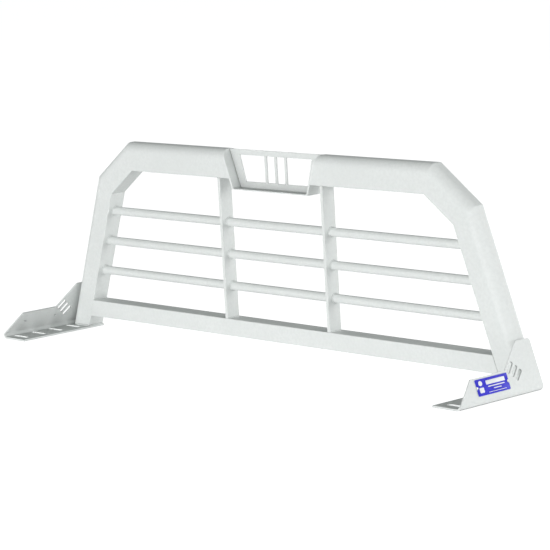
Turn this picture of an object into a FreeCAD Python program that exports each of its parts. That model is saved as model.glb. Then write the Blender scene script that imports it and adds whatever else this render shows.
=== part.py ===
import FreeCAD, Part
import math
import os
import Sketcher

# Headache rack for a pickup bed: a welded aluminium frame with a light window in the top rail and two
# slotted feet that bolt to the bed rails.
#
# Frame of the part: X runs across the truck, Y runs from the bed towards the cab, Z is up. The origin
# lies midway between the two rows of clamp slots, level with the underside of the feet. Sketches are
# drawn with Y = 0 on the rack's front face, and each piece's Placement moves it to where it belongs.
# Everything is in millimetres.

Vector = FreeCAD.Vector
Rotation = FreeCAD.Rotation
Placement = FreeCAD.Placement

os.makedirs("parts", exist_ok=True)

doc = FreeCAD.newDocument("headache_rack")
sheet = doc.addObject("Spreadsheet::Sheet", "Sizes")

DRIVING = [
    # D-section tube of the outer frame
    ("tube_width", 76.2),
    ("tube_depth", 50.8),
    ("tube_wall", 3.2),
    ("front_radius", 25.4),
    ("rear_radius", 12.7),
    ("inner_radius", 2.0),
    # line of the frame's inner edge
    ("shoulder_half", 655.4),
    ("shoulder_height", 390.7),
    ("top_half", 559.8),
    ("top_height", 459.9),
    ("post_lean", 20.0),
    # bottom rail
    ("rail_bottom", 36.0),
    ("rail_top", 82.3),
    # upright bars and rods
    ("bar_position", 197.3),
    ("bar_thickness", 9.5),
    ("bar_depth", 40.2),
    ("rod_diameter", 23.5),
    ("rod_wall", 3.2),
    ("rod_spacing", 85.75),
    ("rod_clearance", 0.1),
    # light window
    ("window_half", 140.0),
    ("window_bottom", 431.6),
    ("end_plate", 4.8),
    ("sheet_plate", 3.2),
    ("back_setback", 27.5),
    ("back_gap", 1.2),
    ("opening_bottom", 451.7),
    ("opening_top", 521.2),
    ("opening_half_low", 119.0),
    ("opening_half_high", 137.5),
    ("slat_width", 9.0),
    ("slat_pitch", 38.0),
    # feet
    ("foot_plate", 4.8),
    ("foot_bend", 8.0),
    ("post_relief", 8.0),
    ("foot_half", 888.0),
    ("flange_half", 789.7),
    ("foot_front", 235.3),
    ("toe_height", 12.0),
    ("toe_length", 56.0),
    ("low_edge", 70.0),
    ("tab_start", 61.0),
    ("tab_height", 133.0),
    ("tab_front", 2.0),
    ("tab_round", 7.0),
    ("slot_length", 56.0),
    ("slot_width", 13.0),
    ("slot_middle", 840.5),
    ("slot_first", 206.0),
    ("slot_pitch", 61.0),
    ("hole_width", 10.0),
    ("hole_length", 34.0),
    ("hole_pitch", 15.5),
    ("hole_height", 52.5),
    ("hole_middle", 20.5),
    # nameplates
    ("name_length", 112.5),
    ("name_height", 42.5),
    ("name_thick", 0.8),
    ("name_round", 4.0),
    ("name_middle", 115.0),
    ("name_level", 45.0),
    ("rivet_spacing", 105.0),
    ("rivet_shank", 3.2),
    ("rivet_head", 6.4),
    ("rivet_rise", 1.3),
    ("rivet_tail", 3.0),
    ("rivet_clearance", 0.05),
    # welds
    ("bead", 2.6),
    ("foot_bead", 4.0),
    ("seam_start", 20.0),
    ("back_bead", 3.2),
]

for row, (alias, value) in enumerate(DRIVING, start=1):
    sheet.set(f"A{row}", alias)
    sheet.set(f"B{row}", str(value))
    sheet.setAlias(f"B{row}", alias)
doc.recompute()


def size(alias):
    """The value of one driving dimension."""
    return float(sheet.get(alias))


LEAN = math.radians(size("post_lean"))
POST_SLOPE = math.tan(LEAN)
ROOM = 20.0  # how far a cutting shape runs past what it cuts
FRONT = size("slot_first") - 1.5 * size("slot_pitch")  # the front face, ahead of the slots' middle


def stand(obj, across=0.0):
    """Put a piece drawn on the front face in its place."""
    obj.Placement = Placement(Vector(across, FRONT, 0), Rotation())
    return obj


def inner_half(height):
    """Half distance between the posts' inner faces at a height."""
    return size("shoulder_half") + (size("shoulder_height") - height) * POST_SLOPE


def window_inner(height):
    """Half width of the light window between its end plates at a height."""
    return size("window_half") + (height - size("window_bottom")) * POST_SLOPE


# ---------------------------------------------------------------- sketches and bodies


def plane(body, role):
    """One of a body's own origin planes."""
    for feature in body.Origin.OriginFeatures:
        if feature.Role == role:
            return feature
    raise ValueError(role)


def new_body(label):
    body = doc.addObject("PartDesign::Body", label)
    body.Label = label
    return body


def new_sketch(body, name, role, offset=None):
    sketch = body.newObject("Sketcher::SketchObject", f"{body.Name}_{name}")
    sketch.AttachmentSupport = [(plane(body, role), "")]
    sketch.MapMode = "FlatFace"
    if offset is not None:
        sketch.AttachmentOffset = offset
    return sketch


def bind(obj, path, expression):
    """Bind a property to the sheet; a bare alias is written without the sheet's name."""
    obj.setExpression(path, expression)


def closed_outline(sketch, points):
    """Straight outline through the points; returns the index of its first line."""
    first = sketch.GeometryCount
    corners = [Vector(x, y, 0) for x, y in points]
    for start, end in zip(corners, corners[1:] + corners[:1]):
        sketch.addGeometry(Part.LineSegment(start, end), False)
    count = len(corners)
    for i in range(count):
        joint = Sketcher.Constraint("Coincident", first + i, 2, first + (i + 1) % count, 1)
        sketch.addConstraint(joint)
    return first


def pin(sketch, line, point, expression_x, expression_y, name):
    """Hold a line's first point at a distance from the sketch's origin, bound to the sheet."""
    axes = (("DistanceX", expression_x, point[0]), ("DistanceY", expression_y, point[1]))
    for kind, expression, value in axes:
        if abs(value) < 1e-9:
            level = "Vertical" if kind == "DistanceX" else "Horizontal"
            sketch.addConstraint(Sketcher.Constraint(level, -1, 1, line, 1))
            continue
        ends = (-1, 1, line, 1) if value > 0 else (line, 1, -1, 1)
        sketch.addConstraint(Sketcher.Constraint(kind, *ends, abs(value)))
        index = sketch.ConstraintCount - 1
        label = f"{name}_{kind[-1].lower()}"
        sketch.renameConstraint(index, label)
        bind(sketch, f"Constraints.{label}", expression)


def pinned_outline(sketch, corners, name="p"):
    """Closed outline whose corners are (x, y, expression of |x|, expression of |y|)."""
    first = closed_outline(sketch, [(x, y) for x, y, _, _ in corners])
    for i, (x, y, expression_x, expression_y) in enumerate(corners):
        pin(sketch, first + i, (x, y), expression_x, expression_y, f"{name}{i}")
    return first


def circle(sketch, centre, radius, expression_x, expression_y, expression_r, name):
    index = sketch.GeometryCount
    shape = Part.Circle(Vector(centre[0], centre[1], 0), Vector(0, 0, 1), radius)
    sketch.addGeometry(shape, False)
    axes = (("DistanceX", expression_x, centre[0]), ("DistanceY", expression_y, centre[1]))
    for kind, expression, value in axes:
        if abs(value) < 1e-9:
            level = "Vertical" if kind == "DistanceX" else "Horizontal"
            sketch.addConstraint(Sketcher.Constraint(level, -1, 1, index, 3))
            continue
        ends = (-1, 1, index, 3) if value > 0 else (index, 3, -1, 1)
        sketch.addConstraint(Sketcher.Constraint(kind, *ends, abs(value)))
        label = f"{name}_{kind[-1].lower()}"
        sketch.renameConstraint(sketch.ConstraintCount - 1, label)
        bind(sketch, f"Constraints.{label}", expression)
    sketch.addConstraint(Sketcher.Constraint("Radius", index, radius))
    sketch.renameConstraint(sketch.ConstraintCount - 1, f"{name}_r")
    bind(sketch, f"Constraints.{name}_r", expression_r)


def slot_outline(sketch, name, length, width):
    """Obround centred on the sketch's origin, its long axis along the sketch's x."""
    radius = size(width.split(".")[1]) / 2
    half = size(length.split(".")[1]) / 2 - radius
    up = Vector(0, 0, 1)
    quarter = math.pi / 2
    outline = [
        Part.LineSegment(Vector(-half, -radius, 0), Vector(half, -radius, 0)),
        Part.ArcOfCircle(Part.Circle(Vector(half, 0, 0), up, radius), -quarter, quarter),
        Part.LineSegment(Vector(half, radius, 0), Vector(-half, radius, 0)),
        Part.ArcOfCircle(Part.Circle(Vector(-half, 0, 0), up, radius), quarter, 3 * quarter),
    ]
    sketch.addGeometry(outline, False)
    for i in range(4):
        sketch.addConstraint(Sketcher.Constraint("Tangent", i, 2, (i + 1) % 4, 1))
    sketch.addConstraint(Sketcher.Constraint("Horizontal", 0))
    sketch.addConstraint(Sketcher.Constraint("Horizontal", -1, 1, 1, 3))
    rules = [
        ("DistanceX", (-1, 1, 1, 3), half, "half", f"({length} - {width}) / 2"),
        ("DistanceX", (3, 3, -1, 1), half, "other_half", f"({length} - {width}) / 2"),
        ("Radius", (1,), radius, "round", f"{width} / 2"),
    ]
    for kind, ends, value, tail, expression in rules:
        sketch.addConstraint(Sketcher.Constraint(kind, *ends, value))
        sketch.renameConstraint(sketch.ConstraintCount - 1, f"{name}_{tail}")
        bind(sketch, f"Constraints.{name}_{tail}", expression)


def pattern(body, name, feature, sketch, axis, length, count):
    """Row of copies of one cut, starting from the cut that is copied."""
    before = body.Shape.Volume
    row = body.newObject("PartDesign::LinearPattern", f"{body.Name}_{name}")
    row.Originals = [feature]
    row.Direction = (sketch, [axis])
    bind(row, "Length", length)
    row.Occurrences = count
    body.Tip = row
    doc.recompute()
    if not body.Shape.Volume < before - 1e-3:
        raise RuntimeError(f"{body.Label}: {name} removed nothing")
    return row


def pad(body, sketch, name, length, reverse=False, middle=False):
    feature = body.newObject("PartDesign::Pad", f"{body.Name}_{name}")
    feature.Profile = sketch
    feature.Reversed = reverse
    feature.Midplane = middle
    bind(feature, "Length", length)
    doc.recompute()
    return feature


def pocket(body, sketch, name, length=None, reverse=False, middle=True):
    """Cut a sketch out of the body and make sure that it removed material."""
    before = body.Shape.Volume
    feature = body.newObject("PartDesign::Pocket", f"{body.Name}_{name}")
    feature.Profile = sketch
    if length is None:
        feature.Type = "ThroughAll"
    else:
        bind(feature, "Length", length)
    feature.Reversed = reverse
    feature.Midplane = middle
    doc.recompute()
    if not body.Shape.Volume < before - 1e-3:
        raise RuntimeError(f"{body.Label}: {name} removed nothing")
    return feature


def straight_edge(shape, test):
    """Names of the straight edges whose ends both pass the test."""
    names = []
    for number, edge in enumerate(shape.Edges, start=1):
        if edge.Curve.TypeId == "Part::GeomLine" and all(test(v.Point) for v in edge.Vertexes):
            names.append(f"Edge{number}")
    return names


def fillet(body, base, name, radius, test):
    edges = straight_edge(base.Shape, test)
    if not edges:
        raise RuntimeError(f"{body.Label}: no edge for {name}")
    feature = body.newObject("PartDesign::Fillet", f"{body.Name}_{name}")
    feature.Base = (base, edges)
    bind(feature, "Radius", radius)
    doc.recompute()
    return feature


def near(a, b):
    return abs(a - b) < 1e-4


def mirrored(source, label):
    """The left-hand twin of a right-hand piece."""
    twin = doc.addObject("Part::Mirroring", label)
    twin.Label = label
    twin.Source = source
    twin.Base = Vector(0, 0, 0)
    twin.Normal = Vector(1, 0, 0)
    return twin


parts = []


def keep(obj):
    parts.append(obj)
    return obj


def keep_pair(right, left_label):
    keep(right)
    keep(mirrored(right, left_label))


# ---------------------------------------------------------------- frame tubes


def frame_tube(label, start, outward, length, start_run, end_run):
    """D-section tube with oblique ends.

    The body's own Z runs along the tube from start, its X points out of the frame and its Y is the
    tube's depth. start_run and end_run say how much further than the inner edge the outer edge
    reaches at each end: each is (value, expression), negative where it falls short.
    """
    width = size("tube_width")
    depth = size("tube_depth")
    body = new_body(label)
    side = new_sketch(body, "side", "XZ_Plane")
    corners = [
        (0.0, 0.0, "0", "0"),
        (width, -start_run[0], "Sizes.tube_width", start_run[1]),
        (width, length[0] + end_run[0], "Sizes.tube_width", f"{length[1]} + {end_run[1]}"),
        (0.0, length[0], "0", length[1]),
    ]
    pinned_outline(side, corners)
    block = pad(body, side, "block", "Sizes.tube_depth", reverse=True)
    front = fillet(
        body, block, "front_round", "Sizes.front_radius",
        lambda p: near(p.x, width) and near(p.y, 0),
    )
    rear = fillet(
        body, front, "rear_round", "Sizes.rear_radius",
        lambda p: near(p.x, width) and near(p.y, depth),
    )
    fillet(
        body, rear, "inner_round", "Sizes.inner_radius",
        lambda p: near(p.x, 0) and (near(p.y, 0) or near(p.y, depth)),
    )
    hollow_sketch(body)
    across = Vector(0, 1, 0)
    along = outward.cross(across)
    turn = Rotation(outward, across, along, "XYZ")
    body.Placement = Placement(start, turn)
    return body


def hollow_sketch(body):
    """The tube's bore: the outer section moved in by the wall, cut through its whole length."""
    width = size("tube_width")
    depth = size("tube_depth")
    wall = size("tube_wall")
    front = size("front_radius")
    rear = size("rear_radius")
    sketch = new_sketch(body, "bore", "XY_Plane")
    front_centre = Vector(width - front, front, 0)
    rear_centre = Vector(width - rear, depth - rear, 0)
    up = Vector(0, 0, 1)
    outline = [
        Part.LineSegment(Vector(wall, wall, 0), Vector(width - front, wall, 0)),
        Part.ArcOfCircle(Part.Circle(front_centre, up, front - wall), -math.pi / 2, 0),
        Part.LineSegment(Vector(width - wall, front, 0), Vector(width - wall, depth - rear, 0)),
        Part.ArcOfCircle(Part.Circle(rear_centre, up, rear - wall), 0, math.pi / 2),
        Part.LineSegment(Vector(width - rear, depth - wall, 0), Vector(wall, depth - wall, 0)),
        Part.LineSegment(Vector(wall, depth - wall, 0), Vector(wall, wall, 0)),
    ]
    sketch.addGeometry(outline, False)
    for i in range(4):
        sketch.addConstraint(Sketcher.Constraint("Tangent", i, 2, i + 1, 1))
    sketch.addConstraint(Sketcher.Constraint("Coincident", 4, 2, 5, 1))
    sketch.addConstraint(Sketcher.Constraint("Coincident", 5, 2, 0, 1))
    sketch.addConstraint(Sketcher.Constraint("Horizontal", 0))
    sketch.addConstraint(Sketcher.Constraint("Vertical", 2))
    sketch.addConstraint(Sketcher.Constraint("Horizontal", 4))
    sketch.addConstraint(Sketcher.Constraint("Vertical", 5))
    sizes = [
        ("DistanceX", (-1, 1, 0, 1), wall, "left", "Sizes.tube_wall"),
        ("DistanceY", (-1, 1, 0, 1), wall, "low", "Sizes.tube_wall"),
        ("DistanceX", (0, 1, 2, 1), width - 2 * wall, "wide", "Sizes.tube_width - 2 * Sizes.tube_wall"),
        ("DistanceY", (5, 2, 5, 1), depth - 2 * wall, "deep", "Sizes.tube_depth - 2 * Sizes.tube_wall"),
        ("Radius", (1,), front - wall, "front", "Sizes.front_radius - Sizes.tube_wall"),
        ("Radius", (3,), rear - wall, "rear", "Sizes.rear_radius - Sizes.tube_wall"),
    ]
    for kind, ends, value, name, expression in sizes:
        sketch.addConstraint(Sketcher.Constraint(kind, *ends, value))
        sketch.renameConstraint(sketch.ConstraintCount - 1, name)
        bind(sketch, f"Constraints.{name}", expression)
    pocket(body, sketch, "hollow")


def frame_line():
    """Lengths, directions and mitres of the right half of the frame, with their expressions."""
    run = size("shoulder_half") - size("top_half")
    rise = size("top_height") - size("shoulder_height")
    slope = math.atan2(rise, run)
    upright = math.pi / 2 - LEAN
    return {
        "slope": slope,
        "top_mitre": math.tan(slope / 2),
        "shoulder_mitre": math.tan((upright - slope) / 2),
        "corner_length": math.hypot(run, rise),
    }


LINE = frame_line()
SLOPE_TEXT = (
    "atan2(Sizes.top_height - Sizes.shoulder_height; Sizes.shoulder_half - Sizes.top_half)"
)
TOP_RUN = (
    size("tube_width") * LINE["top_mitre"],
    f"Sizes.tube_width * tan({SLOPE_TEXT} / 2)",
)
SHOULDER_RUN = (
    size("tube_width") * LINE["shoulder_mitre"],
    f"Sizes.tube_width * tan((90 deg - Sizes.post_lean * 1 deg - {SLOPE_TEXT}) / 2)",
)
LEAN_RUN = (
    size("tube_width") * POST_SLOPE,
    "Sizes.tube_width * tan(Sizes.post_lean * 1 deg)",
)


def right_post():
    foot_top = size("foot_plate")
    length = (size("shoulder_height") - foot_top) / math.cos(LEAN)
    text = "(Sizes.shoulder_height - Sizes.foot_plate) / cos(Sizes.post_lean * 1 deg)"
    start = Vector(inner_half(foot_top), FRONT, foot_top)
    outward = Vector(math.cos(LEAN), 0, math.sin(LEAN))
    body = frame_tube("right_post", start, outward, (length, text), LEAN_RUN, SHOULDER_RUN)

    # the lower outer corner is cut off to clear the inside of the foot's bend
    cut = size("post_relief")
    width = size("tube_width")
    inward = width - cut * math.cos(LEAN)
    along = LEAN_RUN[0] - cut * math.sin(LEAN)
    relief = new_sketch(body, "relief", "XZ_Plane")
    corners = [
        (width, -LEAN_RUN[0], "Sizes.tube_width", LEAN_RUN[1]),
        (width, cut - LEAN_RUN[0], "Sizes.tube_width", f"{LEAN_RUN[1]} - Sizes.post_relief"),
        (inward, -along,
         "Sizes.tube_width - Sizes.post_relief * cos(Sizes.post_lean * 1 deg)",
         f"{LEAN_RUN[1]} - Sizes.post_relief * sin(Sizes.post_lean * 1 deg)"),
    ]
    pinned_outline(relief, corners)
    pocket(body, relief, "relief_cut")
    return body


def right_corner_tube():
    slope = LINE["slope"]
    text = (
        "sqrt((Sizes.shoulder_half - Sizes.top_half) ^ 2"
        " + (Sizes.top_height - Sizes.shoulder_height) ^ 2)"
    )
    start = Vector(size("shoulder_half"), FRONT, size("shoulder_height"))
    outward = Vector(math.sin(slope), 0, math.cos(slope))
    length = (LINE["corner_length"], text)
    return frame_tube("right_corner_tube", start, outward, length, SHOULDER_RUN, TOP_RUN)


def right_top_rail():
    """Runs from the corner mitre to the outer face of the window's end plate."""
    plate = size("end_plate") / math.cos(LEAN)
    end = window_inner(size("top_height")) + plate
    text = (
        "Sizes.top_half - Sizes.window_half"
        " - (Sizes.top_height - Sizes.window_bottom) * tan(Sizes.post_lean * 1 deg)"
        " - Sizes.end_plate / cos(Sizes.post_lean * 1 deg)"
    )
    start = Vector(size("top_half"), FRONT, size("top_height"))
    shorter = (-LEAN_RUN[0], f"(-1) * {LEAN_RUN[1]}")
    length = (size("top_half") - end, text)
    return frame_tube("right_top_rail", start, Vector(0, 0, 1), length, TOP_RUN, shorter)


keep_pair(right_post(), "left_post")
keep_pair(right_corner_tube(), "left_corner_tube")
keep_pair(right_top_rail(), "left_top_rail")


# ---------------------------------------------------------------- bottom rail


def post_face_text(height):
    """Expression of inner_half() at a height given as an expression."""
    return (
        f"Sizes.shoulder_half + (Sizes.shoulder_height - {height}) * tan(Sizes.post_lean * 1 deg)"
    )


def bottom_rail():
    body = new_body("bottom_rail")
    low = size("rail_bottom")
    high = size("rail_top")
    depth = size("tube_depth")
    wide = post_face_text("Sizes.rail_bottom")
    narrow = post_face_text("Sizes.rail_top")
    corners = [
        (-inner_half(low), low, wide, "Sizes.rail_bottom"),
        (inner_half(low), low, wide, "Sizes.rail_bottom"),
        (inner_half(high), high, narrow, "Sizes.rail_top"),
        (-inner_half(high), high, narrow, "Sizes.rail_top"),
    ]
    side = new_sketch(body, "side", "XZ_Plane")
    pinned_outline(side, corners)
    block = pad(body, side, "block", "Sizes.tube_depth", reverse=True)
    edges = []
    for number, edge in enumerate(block.Shape.Edges, start=1):
        ends = [v.Point for v in edge.Vertexes]
        if near(ends[0].y, ends[1].y) and near(ends[0].z, ends[1].z):
            edges.append(f"Edge{number}")
    rounded = body.newObject("PartDesign::Fillet", "bottom_rail_edges")
    rounded.Base = (block, edges)
    bind(rounded, "Radius", "Sizes.inner_radius")
    doc.recompute()
    bore = new_sketch(body, "bore", "YZ_Plane")
    wall = size("tube_wall")
    in_low = "Sizes.rail_bottom + Sizes.tube_wall"
    in_high = "Sizes.rail_top - Sizes.tube_wall"
    in_back = "Sizes.tube_depth - Sizes.tube_wall"
    corners = [
        (wall, low + wall, "Sizes.tube_wall", in_low),
        (depth - wall, low + wall, in_back, in_low),
        (depth - wall, high - wall, in_back, in_high),
        (wall, high - wall, "Sizes.tube_wall", in_high),
    ]
    pinned_outline(bore, corners)
    pocket(body, bore, "hollow")
    return body


keep(stand(bottom_rail()))


# ---------------------------------------------------------------- upright bars and rods


def rod_level(number):
    """Height of a rod's axis; the rods are numbered from the bottom."""
    return size("rail_top") + number * size("rod_spacing")


def rod_level_text(number):
    return f"(Sizes.rail_top + {number} * Sizes.rod_spacing)"


def upright_bar(label, side):
    """Flat bar on edge with three round holes for the rods; side is +1 or -1."""
    body = new_body(label)
    face = new_sketch(body, "face", "YZ_Plane")
    low = size("rail_top")
    high = size("top_height")
    corners = [
        (0.0, low, "0", "Sizes.rail_top"),
        (size("bar_depth"), low, "Sizes.bar_depth", "Sizes.rail_top"),
        (size("bar_depth"), high, "Sizes.bar_depth", "Sizes.top_height"),
        (0.0, high, "0", "Sizes.top_height"),
    ]
    pinned_outline(face, corners)
    pad(body, face, "plate", "Sizes.bar_thickness", middle=True)
    holes = new_sketch(body, "rod_holes", "YZ_Plane")
    centre = size("tube_depth") / 2
    radius = size("rod_diameter") / 2 + size("rod_clearance")
    for number in (1, 2, 3):
        circle(
            holes, (centre, rod_level(number)), radius,
            "Sizes.tube_depth / 2", rod_level_text(number),
            "Sizes.rod_diameter / 2 + Sizes.rod_clearance", f"rod{number}",
        )
    pocket(body, holes, "holes")
    return stand(body, side * size("bar_position"))


keep(upright_bar("left_upright_bar", -1))
keep(upright_bar("right_upright_bar", 1))


def rod(label, number):
    """Round tube from post to post, its ends cut to the lean of the posts."""
    body = new_body(label)
    centre = (size("tube_depth") / 2, rod_level(number))
    level = rod_level_text(number)
    round_face = new_sketch(body, "ring", "YZ_Plane")
    radius = size("rod_diameter") / 2
    bore = radius - size("rod_wall")
    circle(
        round_face, centre, radius, "Sizes.tube_depth / 2", level,
        "Sizes.rod_diameter / 2", "outside",
    )
    circle(
        round_face, centre, bore, "Sizes.tube_depth / 2", level,
        "Sizes.rod_diameter / 2 - Sizes.rod_wall", "inside",
    )
    longest = f"2 * ({post_face_text(level)}) + {2 * ROOM}"
    pad(body, round_face, "tube", longest, middle=True)
    ends = new_sketch(body, "ends", "XZ_Plane")
    low = rod_level(number) - ROOM
    high = rod_level(number) + ROOM
    low_text = f"{level} - {ROOM}"
    high_text = f"{level} + {ROOM}"
    far = inner_half(low) + 3 * ROOM
    far_text = f"{post_face_text(low_text)} + {3 * ROOM}"
    for side in (-1, 1):
        corners = [
            (side * inner_half(low), low, post_face_text(f"({low_text})"), low_text),
            (side * far, low, far_text.replace(low_text, f"({low_text})"), low_text),
            (side * far, high, far_text.replace(low_text, f"({low_text})"), high_text),
            (side * inner_half(high), high, post_face_text(f"({high_text})"), high_text),
        ]
        pinned_outline(ends, corners, "left" if side < 0 else "right")
    pocket(body, ends, "end_cuts")
    return body


keep(stand(rod("lower_rod", 1)))
keep(stand(rod("middle_rod", 2)))
keep(stand(rod("upper_rod", 3)))


# ---------------------------------------------------------------- light window


def window_text(height):
    """Expression of window_inner() at a height given as an expression."""
    return (
        f"Sizes.window_half + ({height} - Sizes.window_bottom) * tan(Sizes.post_lean * 1 deg)"
    )


FRAME_TOP = size("top_height") + size("tube_width")
FRAME_TOP_TEXT = "Sizes.top_height + Sizes.tube_width"
FLOOR_TOP = size("window_bottom") + size("sheet_plate")
FLOOR_TOP_TEXT = "Sizes.window_bottom + Sizes.sheet_plate"


def right_window_end_plate():
    """Plate that closes the rail's slanted end, follows its section and hangs below it."""
    body = new_body("right_window_end_plate")
    low = size("window_bottom")
    depth = size("tube_depth")
    face = new_sketch(body, "face", "YZ_Plane")
    corners = [
        (0.0, low, "0", "Sizes.window_bottom"),
        (depth, low, "Sizes.tube_depth", "Sizes.window_bottom"),
        (depth, FRAME_TOP, "Sizes.tube_depth", FRAME_TOP_TEXT),
        (0.0, FRAME_TOP, "0", FRAME_TOP_TEXT),
    ]
    pinned_outline(face, corners)
    block = pad(body, face, "block", "2 * Sizes.window_half")
    front = fillet(
        body, block, "front_round", "Sizes.front_radius",
        lambda p: near(p.z, FRAME_TOP) and near(p.y, 0),
    )
    fillet(
        body, front, "rear_round", "Sizes.rear_radius",
        lambda p: near(p.z, FRAME_TOP) and near(p.y, depth),
    )
    # the block is cut back to a plate between two leaning planes
    thick = size("end_plate") / math.cos(LEAN)
    thick_text = "Sizes.end_plate / cos(Sizes.post_lean * 1 deg)"
    under = low - ROOM
    over = FRAME_TOP + ROOM
    under_text = f"(Sizes.window_bottom - {ROOM})"
    over_text = f"({FRAME_TOP_TEXT} + {ROOM})"
    far = 2 * size("window_half") + ROOM
    far_text = f"2 * Sizes.window_half + {ROOM}"
    sides = new_sketch(body, "sides", "XZ_Plane")
    inner = [
        (-ROOM, under, str(ROOM), under_text),
        (window_inner(under), under, window_text(under_text), under_text),
        (window_inner(over), over, window_text(over_text), over_text),
        (-ROOM, over, str(ROOM), over_text),
    ]
    outer = [
        (window_inner(under) + thick, under, f"{window_text(under_text)} + {thick_text}", under_text),
        (far, under, far_text, under_text),
        (far, over, far_text, over_text),
        (window_inner(over) + thick, over, f"{window_text(over_text)} + {thick_text}", over_text),
    ]
    pinned_outline(sides, inner, "inner")
    pinned_outline(sides, outer, "outer")
    pocket(body, sides, "side_cuts")
    return body


keep_pair(stand(right_window_end_plate()), "left_window_end_plate")


def trapezoid(sketch, low, high, low_text, high_text, gap="0"):
    """Outline between the window's end plates, less a gap at each end, from one height to another."""
    less = 0.0 if gap == "0" else size(gap.split(".")[1])
    half_low = window_inner(low) - less
    half_high = window_inner(high) - less
    half_low_text = f"{window_text(f'({low_text})')} - {gap}"
    half_high_text = f"{window_text(f'({high_text})')} - {gap}"
    corners = [
        (-half_low, low, half_low_text, low_text),
        (half_low, low, half_low_text, low_text),
        (half_high, high, half_high_text, high_text),
        (-half_high, high, half_high_text, high_text),
    ]
    return pinned_outline(sketch, corners)


def window_floor_plate():
    body = new_body("window_floor_plate")
    side = new_sketch(body, "side", "XZ_Plane")
    trapezoid(side, size("window_bottom"), FLOOR_TOP, "Sizes.window_bottom", FLOOR_TOP_TEXT)
    pad(body, side, "plate", "Sizes.back_setback", reverse=True)
    return body


def window_back_plate():
    """Sheet set back in the window, with a cut-out that leaves three plain slats."""
    body = new_body("window_back_plate")
    setback = Placement(Vector(0, 0, -size("back_setback")), Rotation())
    side = new_sketch(body, "side", "XZ_Plane", setback)
    bind(side, "AttachmentOffset.Base.z", "(-1) * Sizes.back_setback")
    trapezoid(
        side, size("window_bottom"), FRAME_TOP, "Sizes.window_bottom", FRAME_TOP_TEXT, "Sizes.back_gap"
    )
    pad(body, side, "sheet", "Sizes.sheet_plate", reverse=True)

    low = size("opening_bottom")
    high = size("opening_top")
    wide_low = size("opening_half_low")
    wide_high = size("opening_half_high")
    half = size("slat_width") / 2
    pitch = size("slat_pitch")
    low_text = "Sizes.opening_bottom"
    high_text = "Sizes.opening_top"
    outer = pitch + half
    inner = pitch - half
    outer_text = "Sizes.slat_pitch + Sizes.slat_width / 2"
    inner_text = "Sizes.slat_pitch - Sizes.slat_width / 2"
    half_text = "Sizes.slat_width / 2"
    cuts = new_sketch(body, "cut_out", "XZ_Plane")
    for side_name, sign in (("left", -1), ("right", 1)):
        wing = [
            (sign * outer, low, outer_text, low_text),
            (sign * wide_low, low, "Sizes.opening_half_low", low_text),
            (sign * wide_high, high, "Sizes.opening_half_high", high_text),
            (sign * outer, high, outer_text, high_text),
        ]
        pinned_outline(cuts, wing, f"{side_name}_wing")
        middle = [
            (sign * half, low, half_text, low_text),
            (sign * inner, low, inner_text, low_text),
            (sign * inner, high, inner_text, high_text),
            (sign * half, high, half_text, high_text),
        ]
        pinned_outline(cuts, middle, f"{side_name}_gap")
    pocket(body, cuts, "opening")
    return body


keep(stand(window_floor_plate()))
keep(stand(window_back_plate()))


# ---------------------------------------------------------------- feet

PLATE_TURN = Rotation(Vector(1, 0, 0), -size("post_lean"))


def plate_sketch(body, name):
    """Sketch on the outer face of the side plate: x along the truck, y up the plate."""
    on_plate = Placement(Vector(0, 0, size("foot_half")), PLATE_TURN)
    sketch = new_sketch(body, name, "YZ_Plane", on_plate)
    bind(sketch, "AttachmentOffset.Base.z", "Sizes.foot_half")
    bind(sketch, "AttachmentOffset.Rotation.Angle", "(-1) * Sizes.post_lean * 1 deg")
    return sketch


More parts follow.
